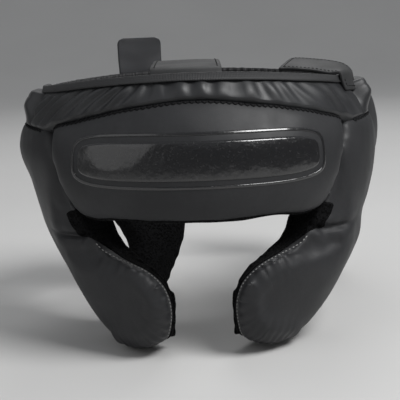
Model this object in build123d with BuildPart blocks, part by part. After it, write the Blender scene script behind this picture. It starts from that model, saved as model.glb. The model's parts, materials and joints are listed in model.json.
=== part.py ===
"""Full-face boxing headgear, standing as it would on a table. Millimetres, +Z up, the face looks along -Y.

The padded pieces follow one egg-shaped wall around the head. A place on that wall is an angle from the
middle of the face, positive towards +X (the wearer's left), and a height. Every pad is lofted through
cross-sections that run from one of its edges to the other, square to the wall, so that a cover, the foam
inside it and the liner behind it are the same loft at different depths. The rear closure is undone: the
flap on the wearer's left stands open, and the one on the right lies where it does when worn.
"""

from build123d import *
import math
import os

LEFT, RIGHT = 1, -1        # the wearer's left is +X

# The wall's outer face at five heights: half width, and the reach forwards and backwards.
CHIN_Z, JAW_Z, EAR_Z, TEMPLE_Z, CROWN_Z = 0.0, 45.0, 90.0, 132.0, 170.0
CHIN_HALF_WIDTH, JAW_HALF_WIDTH, EAR_HALF_WIDTH = 73.0, 97.0, 116.0
TEMPLE_HALF_WIDTH, CROWN_HALF_WIDTH = 123.5, 111.0
CHIN_FRONT, JAW_FRONT, EAR_FRONT, TEMPLE_FRONT, CROWN_FRONT = 107.0, 118.0, 123.0, 123.0, 107.0
CHIN_REAR, JAW_REAR, EAR_REAR, TEMPLE_REAR, CROWN_REAR = 92.0, 102.0, 112.0, 117.0, 112.0

# Padding, from the outside in.
FRONT_THICKNESS = 31.0
SIDE_THICKNESS = 31.0
REAR_THICKNESS = 20.0
NAPE_THICKNESS = 17.0
SKIN = 1.3                 # synthetic leather on its backing
LINING = 1.6
SOFT_FOAM = 9.0            # the softer layer next to the head
LAYER_GAP = 0.3            # between layers of one pad
SEAM_GAP = 0.7             # between two pads sewn edge to edge
PAD_SHOULDER = 6.0         # how far a thick pad's edges sit below its crowned middle
FLAP_SHOULDER = 3.5
FULL_CROWN_WIDTH = 50.0    # a narrower cross-section is crowned less

# Forehead pad and the seam between it and the side pads.
BROW_Z = 88.5
HAIRLINE_Z = 167.0
HAIRLINE_DROP = 19.5       # how much lower the pads' tops are at the sides
HAIRLINE_ANGLE = 60.0      # where they are that low
FOREHEAD_END_ANGLE = 55.3
EYE_CORNER_ANGLE = 42.5
EYE_CORNER_Z = 90.0

# Rear flaps and nape lobes.
HINGE_ANGLE = 105.5        # the sewn fold behind the ear
FLAP_END_ANGLE = 173.0
FLAP_BOTTOM_Z = 82.0
FLAP_CORNER = 7.0          # how much the flap's free upper corner is rounded off
FLAP_OPEN = 55.0           # how far the unfastened flap is swung out
FOLD_DEPTH = 7.7           # how far below the wall's outer face the fold lies

# Crown: fabric from the pads' tops to the rim, and the elastic that closes the rim at the back.
RIM_FRONT_Z, RIM_SIDE_Z, RIM_REAR_Z = 178.5, 169.0, 174.0
RIM_HALF_WIDTH, RIM_FRONT, RIM_REAR = 105.0, 97.0, 100.0
CROWN_FABRIC = 1.4
CROWN_SEAM_GAP = 0.9       # from the pads' tops to the fabric's lower edge
CROWN_END_ANGLE = 104.0
BINDING_TAPE = 1.0
BINDING_HEIGHT = 6.0
BINDING_END_ANGLE = 96.0
ELASTIC_THICKNESS = 2.4
ELASTIC_HEIGHT = 11.0
FLAP_CLEARANCE = 1.0       # from the rear flaps' tops to the elastic's lower edge
ELASTIC_START_ANGLE = 98.0

FLAP_TOP_Z = RIM_SIDE_Z - ELASTIC_HEIGHT - FLAP_CLEARANCE

# Straps and their hook and loop patches.
STRAP_THICKNESS = 2.2
STRAP_GAP = 0.3            # between a strap and what it lies on or against
PATCH_THICKNESS = 1.2
PATCH_GAP = 0.15
PATCH_MARGIN = 4.0
ANCHOR_LENGTH = 10.0       # the sewn end of a strap
FRONT_STRAP_WIDTH = 44.0
FRONT_STRAP_X = -6.0
FRONT_STRAP_RISE = 4.0
FRONT_STRAP_CREST = (-25.0, 184.5)       # Y and Z
FRONT_STRAP_END = (56.0, 180.0)
FRONT_PATCH_LENGTH = 42.0
REAR_TAB_WIDTH = 36.0
REAR_TAB_ANGLE = 204.5
REAR_TAB_RISE = 27.0
REAR_TAB_CORNER = 5.0
TAB_GAP = 0.9              # room for the tab to fold either way
SIDE_STRAP_WIDTH = 34.0
SIDE_STRAP_ANGLE = 70.0
SIDE_STRAP_RISE = 4.6
SIDE_STRAP_CREST = (-17.0, 8.8)          # out from the rim and up from it
SIDE_STRAP_END = (-41.0, 10.5)
CLOSURE_WIDTH = 60.0
CLOSURE_LENGTH = 80.0
CLOSURE_Z = 120.0
CLOSURE_CLEARANCE = 1.5    # from the flap's end to the line where the strap folds
CLOSURE_FOLD = 75.0        # how far the closure strap has swung in from flush
CLOSURE_PATCH_LENGTH = 45.0
LOOP_PATCH_ANGLE = 139.0
LOOP_PATCH_SIZE = (78.0, 50.0)
CHIN_STRAP_SIZE = (54.0, 30.0)
CHIN_STRAP_PLACE = (64.0, 36.0)          # angle and height of its middle
CHIN_STRAP_GAP = 0.5       # to the lining that it is tucked against
CHIN_PATCH_LENGTH = 24.0

os.makedirs("parts", exist_ok=True)


# ---- The wall ----

HEIGHTS = (CHIN_Z, JAW_Z, EAR_Z, TEMPLE_Z, CROWN_Z)
HALF_WIDTHS = (CHIN_HALF_WIDTH, JAW_HALF_WIDTH, EAR_HALF_WIDTH, TEMPLE_HALF_WIDTH, CROWN_HALF_WIDTH)
FRONTS = (CHIN_FRONT, JAW_FRONT, EAR_FRONT, TEMPLE_FRONT, CROWN_FRONT)
REARS = (CHIN_REAR, JAW_REAR, EAR_REAR, TEMPLE_REAR, CROWN_REAR)
UP = Vector(0, 0, 1)


def smooth(z, heights, values):
    """A smooth curve through the values at the heights, held level past the ends."""
    z = min(max(z, heights[0]), heights[-1])
    i = max(k for k in range(len(heights) - 1) if heights[k] <= z)
    slopes = []
    for k in (i, i + 1):
        low, high = max(k - 1, 0), min(k + 1, len(heights) - 1)
        slopes.append((values[high] - values[low]) / (heights[high] - heights[low]))
    span = heights[i + 1] - heights[i]
    t = (z - heights[i]) / span
    return (
        values[i] * (1 + 2 * t) * (1 - t) ** 2
        + values[i + 1] * (3 - 2 * t) * t ** 2
        + span * slopes[0] * t * (1 - t) ** 2
        - span * slopes[1] * (1 - t) * t ** 2
    )


def on_wall(angle, z, depth=0.0):
    """The point at an angle and a height, at a depth below the wall's outer face."""
    half_width = smooth(z, HEIGHTS, HALF_WIDTHS)
    front, rear = smooth(z, HEIGHTS, FRONTS), smooth(z, HEIGHTS, REARS)
    half_depth, centre = (front + rear) / 2, (rear - front) / 2
    t = math.radians(angle)
    outward = Vector(math.sin(t) / half_width, -math.cos(t) / half_depth, 0).normalized()
    return Vector(half_width * math.sin(t), centre - half_depth * math.cos(t), z) - outward * depth


def outward(angle, z):
    """The wall's level outward direction."""
    return on_wall(angle, z) - on_wall(angle, z, 1.0)


def pad_top(angle):
    """The height of the pads' top edge."""
    return HAIRLINE_Z - HAIRLINE_DROP * min(abs(angle) / HAIRLINE_ANGLE, 1.0) ** 1.5


# ---- Pads, as stations: (angle, height) of one edge, then of the other ----

# The seam between the forehead pad and a side pad, from the eye corner up, as angles and heights.
SEAM = ((EYE_CORNER_ANGLE, EYE_CORNER_Z), (46.0, 94.5), (48.6, 107.0), (50.8, 123.0), (53.4, 137.0),
        (FOREHEAD_END_ANGLE, 143.5))


def forehead_stations():
    half = [(0.0, BROW_Z), (14.0, BROW_Z), (29.0, EYE_CORNER_Z - 0.5)] + list(SEAM)
    right = [(-angle, z, -angle, pad_top(angle)) for angle, z in reversed(half[1:])]
    return right + [(angle, z, angle, pad_top(angle)) for angle, z in half]


# A side pad runs from the temple down past the ear and swings forward into the cheek lobe. Its front edge
# follows the seam, the eye corner and the lobe's inner outline, its rear edge the fold and the jaw.
SIDE_FRONT_EDGE = ((56.8, pad_top(HAIRLINE_ANGLE)),) + tuple(reversed(SEAM[1:-1])) + (
    (43.4, 86.0), (41.0, 76.0), (32.0, 68.5), (22.5, 63.0), (16.0, 53.0), (14.0, 38.0), (17.5, 20.0), (26.0, 7.0))
SIDE_REAR_EDGE = ((HINGE_ANGLE, pad_top(HAIRLINE_ANGLE)), (HINGE_ANGLE, 137.0), (HINGE_ANGLE, 122.0),
                  (HINGE_ANGLE, 105.0), (HINGE_ANGLE, 89.0), (104.0, 75.0), (101.0, 62.0), (95.0, 49.0),
                  (88.5, 36.0), (81.0, 23.0), (70.0, 11.0), (56.0, 2.5), (42.0, 0.0))


def side_stations(side):
    seam_angle = math.degrees(SEAM_GAP / EAR_HALF_WIDTH)
    return [(side * (a + seam_angle), za, side * (b - seam_angle / 2), zb)
            for (a, za), (b, zb) in zip(SIDE_FRONT_EDGE, SIDE_REAR_EDGE)]


def flap_stations(side):
    start = HINGE_ANGLE + math.degrees(SEAM_GAP / EAR_HALF_WIDTH) / 2
    corner = math.degrees(FLAP_CORNER / EAR_REAR)
    full_height_end = FLAP_END_ANGLE - 3 * corner
    rows = [(start + (full_height_end - start) * k / 4, FLAP_TOP_Z) for k in range(5)]
    rows += [(FLAP_END_ANGLE - corner, FLAP_TOP_Z - FLAP_CORNER / 3), (FLAP_END_ANGLE, FLAP_TOP_Z - FLAP_CORNER)]
    return [(side * angle, FLAP_BOTTOM_Z, side * angle, top) for angle, top in rows]


def nape_stations(side):
    top = FLAP_BOTTOM_Z - SEAM_GAP
    rows = ((128.0, 172.0, top), (133.0, 173.5, 61.0), (136.0, 172.5, 43.0), (134.0, 167.0, 25.0),
            (130.0, 158.0, 10.0), (133.0, 150.0, 0.0))
    return [(side * a, z, side * b, z) for a, b, z in rows]


def section_plane(station):
    """The plane of a station's cross-section: X from edge to edge, Y out of the wall."""
    angle_1, z_1, angle_2, z_2 = station
    first, second = on_wall(angle_1, z_1), on_wall(angle_2, z_2)
    across = (second - first).normalized()
    out = outward(angle_1, z_1) + outward(angle_2, z_2)
    return Plane(origin=(first + second) / 2, x_dir=across, z_dir=across.cross(out))


def width_of(station):
    return (on_wall(*station[2:]) - on_wall(*station[:2])).length


def narrowed(station, margin):
    """A station with both edges moved in by a margin."""
    share = margin / width_of(station)
    first, second = Vector(*station[:2]), Vector(*station[2:])
    step = (second - first) * share
    return (first.X + step.X, first.Y + step.Y, second.X - step.X, second.Y - step.Y)


def moved_in(station, neighbour, distance):
    """A station moved towards its neighbour by a distance."""
    here, there = section_plane(station).origin, section_plane(neighbour).origin
    share = distance / (there - here).length
    return tuple(a + (b - a) * share for a, b in zip(station, neighbour))


def pad_layer(stations, shoulder, top, bottom, margin=0.0, end_margin=0.0, back_shoulder=0.0):
    """One layer of a pad, between two depths, in from its long edges and its two ends by the margins."""
    first = moved_in(stations[0], stations[1], end_margin)
    last = moved_in(stations[-1], stations[-2], end_margin)
    with BuildPart() as layer:
        for full_station in [first] + stations[1:-1] + [last]:
            station = narrowed(full_station, margin)
            plane = section_plane(station)
            edge_1, edge_2 = station[:2], station[2:]
            middle = (station[0] + station[2]) / 2, (station[1] + station[3]) / 2
            crown = shoulder * min(width_of(full_station) / FULL_CROWN_WIDTH, 1.0)
            corners = (
                on_wall(*edge_1, shoulder + top), on_wall(*middle, shoulder - crown + top),
                on_wall(*edge_2, shoulder + top), on_wall(*edge_2, back_shoulder + bottom),
                on_wall(*middle, bottom), on_wall(*edge_1, back_shoulder + bottom))
            points = [plane.to_local_coords(corner) for corner in corners]
            points = [(point.X, point.Y) for point in points]
            with BuildSketch(plane):
                with BuildLine():
                    ThreePointArc(points[0], points[1], points[2])
                    Line(points[2], points[3])
                    ThreePointArc(points[3], points[4], points[5])
                    Line(points[5], points[0])
                make_face()
        loft()
    return layer.part


pieces = {}


def make_pad(name, stations, shoulder, thickness, soft_foam=0.0):
    """A pad's pieces: a cover open at the back, its foam, and the liner sewn over the opening."""
    back = thickness - LINING - LAYER_GAP
    inside = SKIN + LAYER_GAP
    with BuildPart() as cover:
        add(pad_layer(stations, shoulder, 0.0, back))
        add(pad_layer(stations, shoulder, SKIN, thickness, SKIN, SKIN), mode=Mode.SUBTRACT)
    pieces[name + "_cover"] = cover.part
    foam_back = back
    if soft_foam:
        foam_back = back - soft_foam - LAYER_GAP
        pieces[name + "_soft_foam"] = pad_layer(
            stations, 0.0, back - soft_foam, back, inside, inside)
    pieces[name + "_core_foam"] = pad_layer(stations, shoulder, inside, foam_back, inside, inside)
    pieces[name + "_liner"] = pad_layer(stations, 0.0, thickness - LINING, thickness)


# ---- The pads ----

make_pad("forehead", forehead_stations(), PAD_SHOULDER, FRONT_THICKNESS, SOFT_FOAM)
for side, wearer_side in ((LEFT, "left"), (RIGHT, "right")):
    make_pad(wearer_side + "_side", side_stations(side), PAD_SHOULDER, SIDE_THICKNESS, SOFT_FOAM)
    make_pad(wearer_side + "_rear", flap_stations(side), FLAP_SHOULDER, REAR_THICKNESS)
    make_pad(wearer_side + "_nape", nape_stations(side), FLAP_SHOULDER, NAPE_THICKNESS)


# ---- Crown ----

def rim_z(angle):
    """The height of the crown's rim, lower at the sides."""
    along = math.cos(math.radians(angle))
    end_z = RIM_FRONT_Z if along > 0 else RIM_REAR_Z
    return RIM_SIDE_Z + (end_z - RIM_SIDE_Z) * along ** 2


def on_rim(angle, depth=0.0, drop=0.0):
    """A point on the rim, at a depth inside it and a drop below it."""
    half_depth, centre = (RIM_FRONT + RIM_REAR) / 2, (RIM_REAR - RIM_FRONT) / 2
    t = math.radians(angle)
    out = Vector(math.sin(t) / RIM_HALF_WIDTH, -math.cos(t) / half_depth, 0).normalized()
    edge = Vector(RIM_HALF_WIDTH * math.sin(t), centre - half_depth * math.cos(t), rim_z(angle))
    return edge - out * depth - UP * drop


def upright_plane(angle):
    """The upright plane square to the wall at an angle: X out of the wall, Y up."""
    out = outward(angle, RIM_SIDE_Z)
    return Plane(origin=on_rim(angle), x_dir=out, z_dir=out.cross(UP))


def ring_strip(angles, profile):
    """A strip that runs round the rim: profile(angle) gives its corners in the upright plane."""
    with BuildPart() as strip:
        for angle in angles:
            with BuildSketch(upright_plane(angle)):
                with BuildLine():
                    Polyline(*profile(angle), close=True)
                make_face()
        loft()
    return strip.part


def spread(first, last, count):
    """Evenly spaced angles."""
    return [first + (last - first) * k / (count - 1) for k in range(count)]


def crown_profile(angle):
    """The crown fabric's cross-section, from just above the pads to the rim."""
    plane = upright_plane(angle)
    foot = plane.to_local_coords(on_wall(angle, pad_top(angle) + CROWN_SEAM_GAP, PAD_SHOULDER + CROWN_FABRIC))
    return [(foot.X, foot.Y), (0, 0), (-CROWN_FABRIC, 0), (foot.X - CROWN_FABRIC, foot.Y)]


def binding_profile(angle):
    """A tape folded over the crown fabric's top edge."""
    gap = LAYER_GAP / 2
    out, inside = gap + BINDING_TAPE, -CROWN_FABRIC - gap
    foot = crown_profile(angle)[0]
    lean = foot[0] / foot[1] * -BINDING_HEIGHT
    return [(gap, gap), (gap + lean, -BINDING_HEIGHT), (out + lean, -BINDING_HEIGHT), (out, gap + BINDING_TAPE),
            (inside - BINDING_TAPE, gap + BINDING_TAPE), (inside - BINDING_TAPE + lean, -BINDING_HEIGHT),
            (inside + lean, -BINDING_HEIGHT), (inside, gap)]


def elastic_profile(angle):
    """The rear elastic, a flat band inside the line of the rim."""
    outer = -CROWN_FABRIC - LAYER_GAP
    inner = outer - ELASTIC_THICKNESS
    return [(outer, 0), (outer, -ELASTIC_HEIGHT), (inner, -ELASTIC_HEIGHT), (inner, 0)]


pieces["crown_band"] = ring_strip(spread(-CROWN_END_ANGLE, CROWN_END_ANGLE, 17), crown_profile)
pieces["crown_binding"] = ring_strip(spread(-BINDING_END_ANGLE, BINDING_END_ANGLE, 17), binding_profile)
pieces["rear_elastic"] = ring_strip(spread(ELASTIC_START_ANGLE, 360 - ELASTIC_START_ANGLE, 13), elastic_profile)


# ---- Straps of the crown ----

BINDING_FACE = LAYER_GAP / 2 + BINDING_TAPE     # how far the binding stands out from the fabric, and above it


def anchor_profile(offset):
    """A strap's sewn end, an offset out from the crown fabric's outer face, up to the binding's top."""
    def profile(angle):
        foot = crown_profile(angle)[0]
        low = offset - foot[0] / foot[1] * ANCHOR_LENGTH
        return [(low, -ANCHOR_LENGTH), (offset, BINDING_FACE), (offset + STRAP_THICKNESS, BINDING_FACE),
                (low + STRAP_THICKNESS, -ANCHOR_LENGTH)]
    return profile


def rim_angles(middle, width, count=5):
    """Angles along a width of the rim."""
    half = math.degrees(width / 2 / RIM_HALF_WIDTH)
    return spread(middle - half, middle + half, count)


def arched_strap(plane, width, start, crest, end, depth=0.0, thickness=STRAP_THICKNESS):
    """A strap of a width across the plane, whose upper face lies a depth below an arc over three points."""
    with BuildPart() as strap:
        with BuildSketch(plane):
            with BuildLine():
                arc = ThreePointArc(start, crest, end, mode=Mode.PRIVATE)
                centre, radius = arc.arc_center, arc.radius
                lowered = [centre + (Vector(*p) - centre) * (1 - depth / radius) for p in (start, crest, end)]
                ThreePointArc(*lowered)
                offset(amount=thickness, side=Side.RIGHT)
            make_face()
        extrude(amount=width / 2, both=True)
    return strap.part


front_offset = -(CROWN_FABRIC + BINDING_FACE + STRAP_GAP + STRAP_THICKNESS)
front_angle = math.degrees(math.asin(FRONT_STRAP_X / RIM_HALF_WIDTH))
pieces["front_strap_anchor"] = ring_strip(rim_angles(front_angle, FRONT_STRAP_WIDTH), anchor_profile(front_offset))
front_start = (-RIM_FRONT - front_offset - STRAP_THICKNESS, RIM_FRONT_Z + FRONT_STRAP_RISE)
front_plane = Plane.YZ.offset(FRONT_STRAP_X)
front_arc = (front_start, FRONT_STRAP_CREST, FRONT_STRAP_END)
pieces["front_top_strap"] = arched_strap(front_plane, FRONT_STRAP_WIDTH, *front_arc)
with BuildPart() as front_patch:
    add(arched_strap(front_plane, FRONT_STRAP_WIDTH - 2 * PATCH_MARGIN, *front_arc,
                     STRAP_THICKNESS + PATCH_GAP, PATCH_THICKNESS))
    with BuildSketch(Plane.XZ.offset(PATCH_MARGIN + FRONT_PATCH_LENGTH - FRONT_STRAP_END[0])):
        with Locations((FRONT_STRAP_X, RIM_FRONT_Z)):
            Rectangle(FRONT_STRAP_WIDTH, FRONT_STRAP_WIDTH)
    extrude(amount=-FRONT_PATCH_LENGTH, mode=Mode.INTERSECT)
pieces["front_strap_hook_patch"] = front_patch.part

side_offset = BINDING_FACE + STRAP_GAP
pieces["side_strap_anchor"] = ring_strip(
    rim_angles(SIDE_STRAP_ANGLE, SIDE_STRAP_WIDTH), anchor_profile(side_offset))
side_start = (side_offset + STRAP_THICKNESS, SIDE_STRAP_RISE)
pieces["side_top_strap"] = arched_strap(
    upright_plane(SIDE_STRAP_ANGLE), SIDE_STRAP_WIDTH, SIDE_STRAP_END, SIDE_STRAP_CREST, side_start)


def face_plane(origin, out):
    """The upright plane through a point that faces outwards: X level, Y up."""
    return Plane(origin=origin, x_dir=UP.cross(out), z_dir=out)


def flat_piece(plane, x_range, y_range, thickness, corner=0.0):
    """A flat rectangle on a plane, its upper corners rounded if a radius is given."""
    width, height = x_range[1] - x_range[0], y_range[1] - y_range[0]
    middle = (x_range[0] + x_range[1]) / 2, (y_range[0] + y_range[1]) / 2
    with BuildPart() as piece:
        with BuildSketch(plane) as outline:
            with Locations(middle):
                Rectangle(width, height)
            if corner:
                top = outline.vertices().sort_by(Axis.Y)[-2:]
                fillet(top, radius=corner)
        extrude(amount=thickness)
    return piece.part


tab_out = outward(REAR_TAB_ANGLE, RIM_SIDE_Z)
tab_face = face_plane(on_rim(REAR_TAB_ANGLE, CROWN_FABRIC + LAYER_GAP - STRAP_GAP), tab_out)
tab_half = REAR_TAB_WIDTH / 2
pieces["rear_tab_anchor"] = flat_piece(tab_face, (-tab_half, tab_half), (-ANCHOR_LENGTH, 0), STRAP_THICKNESS)
pieces["rear_tab"] = flat_piece(
    tab_face, (-tab_half, tab_half), (TAB_GAP, REAR_TAB_RISE), STRAP_THICKNESS, REAR_TAB_CORNER)
pieces["rear_tab_loop_patch"] = flat_piece(
    tab_face.offset(STRAP_THICKNESS + PATCH_GAP), (PATCH_MARGIN - tab_half, tab_half - PATCH_MARGIN),
    (PATCH_MARGIN, REAR_TAB_RISE - PATCH_MARGIN), PATCH_THICKNESS)


# ---- Rear closure ----

def patch_over(layer, angle, z, size):
    """The part of a layer behind a rectangle that faces outwards at an angle and a height."""
    with BuildPart() as patch:
        add(layer)
        with BuildSketch(face_plane(on_wall(angle, z), outward(angle, z))):
            Rectangle(*size)
        extrude(amount=SIDE_THICKNESS * 2, both=True, mode=Mode.INTERSECT)
    return patch.part


loop_layer = pad_layer(flap_stations(RIGHT), FLAP_SHOULDER, -PATCH_GAP - PATCH_THICKNESS, -PATCH_GAP,
                       back_shoulder=FLAP_SHOULDER)
pieces["closure_loop_patch"] = patch_over(loop_layer, -LOOP_PATCH_ANGLE, CLOSURE_Z, LOOP_PATCH_SIZE)

anchor_angle = FLAP_END_ANGLE - math.degrees(ANCHOR_LENGTH / 2 / EAR_REAR)
closure_face = face_plane(on_wall(anchor_angle, CLOSURE_Z, -STRAP_GAP), outward(anchor_angle, CLOSURE_Z))
fold_x = ANCHOR_LENGTH / 2 + CLOSURE_CLEARANCE
closure_y = (-CLOSURE_WIDTH / 2, CLOSURE_WIDTH / 2)
closure_end = fold_x + CLOSURE_LENGTH
patch_x = (closure_end - PATCH_MARGIN - CLOSURE_PATCH_LENGTH, closure_end - PATCH_MARGIN)
patch_y = (closure_y[0] + PATCH_MARGIN, closure_y[1] - PATCH_MARGIN)
pieces["closure_anchor"] = flat_piece(
    closure_face, (-ANCHOR_LENGTH / 2, fold_x - STRAP_GAP), closure_y, ELASTIC_THICKNESS)
pieces["closure_elastic"] = flat_piece(closure_face, (fold_x, closure_end), closure_y, ELASTIC_THICKNESS)
pieces["closure_hook_patch"] = flat_piece(
    closure_face.offset(-PATCH_GAP - PATCH_THICKNESS), patch_x, patch_y, PATCH_THICKNESS)
fold_axis = Axis(closure_face.from_local_coords((fold_x, 0, 0)), (0, 0, 1))


# ---- Chin straps, tucked behind the cheeks ----

for side, wearer_side, patch in ((LEFT, "left", "hook"), (RIGHT, "right", "loop")):
    angle, z = CHIN_STRAP_PLACE
    front = SIDE_THICKNESS + CHIN_STRAP_GAP
    back = front + STRAP_THICKNESS
    strap_layer = pad_layer(side_stations(side), 0.0, front, back)
    patch_layer = pad_layer(side_stations(side), 0.0, back + PATCH_GAP, back + PATCH_GAP + PATCH_THICKNESS)
    pieces[wearer_side + "_chin_strap"] = patch_over(strap_layer, side * angle, z, CHIN_STRAP_SIZE)
    free_end = CHIN_STRAP_SIZE[0] / 2 - PATCH_MARGIN - CHIN_PATCH_LENGTH / 2
    patch_angle = angle - math.degrees(free_end / (JAW_HALF_WIDTH - front))
    pieces[f"{wearer_side}_chin_{patch}_patch"] = patch_over(
        patch_layer, side * patch_angle, z, (CHIN_PATCH_LENGTH, CHIN_STRAP_SIZE[1] - 2 * PATCH_MARGIN))


# ---- Everything in its place, the wearer's left flap unfastened ----

flap_axis = Axis(on_wall(HINGE_ANGLE, TEMPLE_Z, FOLD_DEPTH), (0, 0, 1))
for name in ("closure_elastic", "closure_hook_patch"):
    pieces[name] = pieces[name].rotate(fold_axis, CLOSURE_FOLD)
for name in list(pieces):
    if name.startswith(("left_rear", "left_nape", "closure_anchor", "closure_elastic", "closure_hook")):
        pieces[name] = pieces[name].rotate(flap_axis, -FLAP_OPEN)

for name, part in pieces.items():
    part.label = name
    export_step(part, f"parts/{name}.step")
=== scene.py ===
# %% [markdown]
# # Boxing headgear
# A soft shell of foam pads in thin synthetic leather, sewn to a nylon crown, with webbing straps.
# The imported model is the frame: it says where every piece is and what it moves with.
# Each soft piece is modelled again here over its plain solid. All but the four folding straps and the two
# flap folds ride on the same body.

# %% Load the frame
import json
import math

import bmesh
import bpy
import numpy as np
from mathutils import Matrix, Vector, noise
from mathutils.bvhtree import BVHTree


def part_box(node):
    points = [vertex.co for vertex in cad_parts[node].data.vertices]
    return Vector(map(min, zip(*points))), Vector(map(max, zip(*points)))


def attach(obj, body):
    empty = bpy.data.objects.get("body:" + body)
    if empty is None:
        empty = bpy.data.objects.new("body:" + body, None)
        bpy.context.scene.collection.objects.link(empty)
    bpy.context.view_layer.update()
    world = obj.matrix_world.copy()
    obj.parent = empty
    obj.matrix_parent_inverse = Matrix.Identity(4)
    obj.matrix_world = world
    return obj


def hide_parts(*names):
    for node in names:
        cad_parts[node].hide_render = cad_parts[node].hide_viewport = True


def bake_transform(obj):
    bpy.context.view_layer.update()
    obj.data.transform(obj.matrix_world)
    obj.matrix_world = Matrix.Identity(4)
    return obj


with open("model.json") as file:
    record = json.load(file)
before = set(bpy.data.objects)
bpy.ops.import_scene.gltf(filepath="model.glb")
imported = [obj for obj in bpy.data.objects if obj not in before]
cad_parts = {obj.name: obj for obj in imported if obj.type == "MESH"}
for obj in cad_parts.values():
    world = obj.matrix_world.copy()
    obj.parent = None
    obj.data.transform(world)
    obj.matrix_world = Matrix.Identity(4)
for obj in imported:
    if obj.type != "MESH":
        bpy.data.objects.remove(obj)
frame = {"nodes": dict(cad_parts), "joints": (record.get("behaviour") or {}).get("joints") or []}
NODES = frame["nodes"]
SCENE = bpy.context.scene
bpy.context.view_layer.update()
MM = 0.001

# %% [markdown]
# ## Camera
# A portrait lens stands 0.7 m from the brow and a little above it, rolled two degrees,
# because the headgear leans a little in the view that is wanted.

# %% Camera
AIM = Vector((0.0, -0.005, 0.0855))
DISTANCE, RAISED, ROLL = 0.7, math.radians(10), math.radians(-2)
camera = bpy.data.objects.new("camera", bpy.data.cameras.new("camera"))
SCENE.collection.objects.link(camera)
camera.data.lens, camera.data.sensor_width = 88.9, 36.0
away = Vector((0, -math.cos(RAISED), math.sin(RAISED)))
turned = (-away).to_track_quat("-Z", "Y").to_matrix().to_4x4()
camera.matrix_world = Matrix.Translation(AIM + DISTANCE * away) @ turned @ Matrix.Rotation(ROLL, 4, "Z")
SCENE.camera = camera
SCENE.view_settings.view_transform = "Standard"
print("camera at", [round(v, 3) for v in camera.matrix_world.translation])

# %% [markdown]
# ## Finishes
# Shader maths is easier to read as ordinary sums. `Value` wraps a socket, so that `1 - grain * 0.3`
# adds the Math nodes by itself. `Finish` is one material: it makes nodes and sets the shader.

# %% Shader helpers
class Value:
    """A number that changes over a surface."""

    def __init__(self, finish, socket):
        self.finish, self.socket = finish, socket

    def maths(self, operation, first, second):
        inputs = {0: first, 1: second}
        return self.finish.node("ShaderNodeMath", {"operation": operation}, inputs)

    def __add__(self, other):
        return self.maths("ADD", self, other)

    def __sub__(self, other):
        return self.maths("SUBTRACT", self, other)

    def __rsub__(self, other):
        return self.maths("SUBTRACT", other, self)

    def __mul__(self, other):
        return self.maths("MULTIPLY", self, other)

    __radd__, __rmul__ = __add__, __mul__


class Finish:
    """A material whose nodes are made from expressions."""

    def __init__(self, name, slot, **fixed):
        self.material, self.slot = bpy.data.materials.new(name), slot
        self.material.use_nodes = True
        self.tree = self.material.node_tree
        self.shader = self.tree.nodes["Principled BSDF"]
        for socket, value in fixed.items():
            self.shader.inputs[socket.replace("_", " ").title().replace("Ior", "IOR")].default_value = value

    def node(self, kind, settings=None, inputs=None, output=0):
        made = self.tree.nodes.new(kind)
        for key, value in (settings or {}).items():
            setattr(made, key, value)
        for key, value in (inputs or {}).items():
            self.put(made.inputs[key], value)
        return Value(self, made.outputs[output])

    def put(self, socket, value):
        if isinstance(value, Value):
            self.tree.links.new(value.socket, socket)
        else:
            socket.default_value = value

    def place(self, kind="Object"):
        """Where a point is on the piece, or on its UV map, in metres."""
        return self.node("ShaderNodeTexCoord", output=kind)

    def cloud(self, scale, detail=2.0):
        inputs = {"Scale": scale, "Detail": detail, "Vector": self.place()}
        return self.node("ShaderNodeTexNoise", None, inputs)

    def pebbles(self, scale):
        return self.node("ShaderNodeTexVoronoi", None, {"Scale": scale, "Vector": self.place()})

    def ribs(self, scale, direction):
        settings = {"wave_type": "BANDS", "bands_direction": direction, "wave_profile": "SIN"}
        inputs = {"Scale": scale, "Distortion": 0.4, "Detail": 2.0, "Vector": self.place("UV")}
        return self.node("ShaderNodeTexWave", settings, inputs, output="Fac")

    def between(self, value, low, high, to_low=0.0, to_high=1.0):
        inputs = {"Value": value, "From Min": low, "From Max": high, "To Min": to_low, "To Max": to_high}
        return self.node("ShaderNodeMapRange", {"interpolation_type": "SMOOTHSTEP"}, inputs)

    def mixed(self, factor, first, second):
        inputs = {0: factor, 6: (*first, 1), 7: (*second, 1)}
        return self.node("ShaderNodeMix", {"data_type": "RGBA"}, inputs, output=2)

    def shade(self, tone, dark, light, roughness, *relief):
        """Sets a colour between two tones, a roughness, and a relief's height, strength and depth."""
        self.put(self.shader.inputs["Base Color"], self.mixed(tone, dark, light))
        self.put(self.shader.inputs["Roughness"], roughness)
        if relief:
            inputs = dict(zip(("Height", "Strength", "Distance"), relief))
            self.put(self.shader.inputs["Normal"], self.node("ShaderNodeBump", None, inputs))
        return self


print("shader helpers ready")

# %% [markdown]
# ### Synthetic leather
# The covers are matt charcoal with a very fine pebble grain. Broad clouds of roughness, where hands
# have polished it, keep the large smooth pads from looking like one flat colour.

# %% Leather finishes
def leather(name, dark, light, rough=(0.42, 0.56)):
    finish = Finish(name, "cover_leather", specular_ior_level=0.34)
    broad, fine = finish.cloud(22, 3), finish.cloud(420, 3)
    grain = finish.pebbles(1100) * 0.6 + fine * 0.4
    tone = finish.between(broad * 0.7 + fine * 0.3, 0.35, 0.65)
    polish = finish.between(finish.cloud(34, 4), 0.3, 0.7, rough[0], rough[1])
    return finish.shade(tone, dark, light, polish + grain * 0.05, grain, 0.22, 0.00022)


LEATHER = leather("charcoal_leather", (0.0165, 0.017, 0.0185), (0.023, 0.0235, 0.0255))
STRAP_LEATHER = leather("grey_strap_leather", (0.017, 0.0175, 0.018), (0.025, 0.0255, 0.0265), (0.55, 0.68))
print("leather nodes:", len(LEATHER.tree.nodes))

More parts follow.
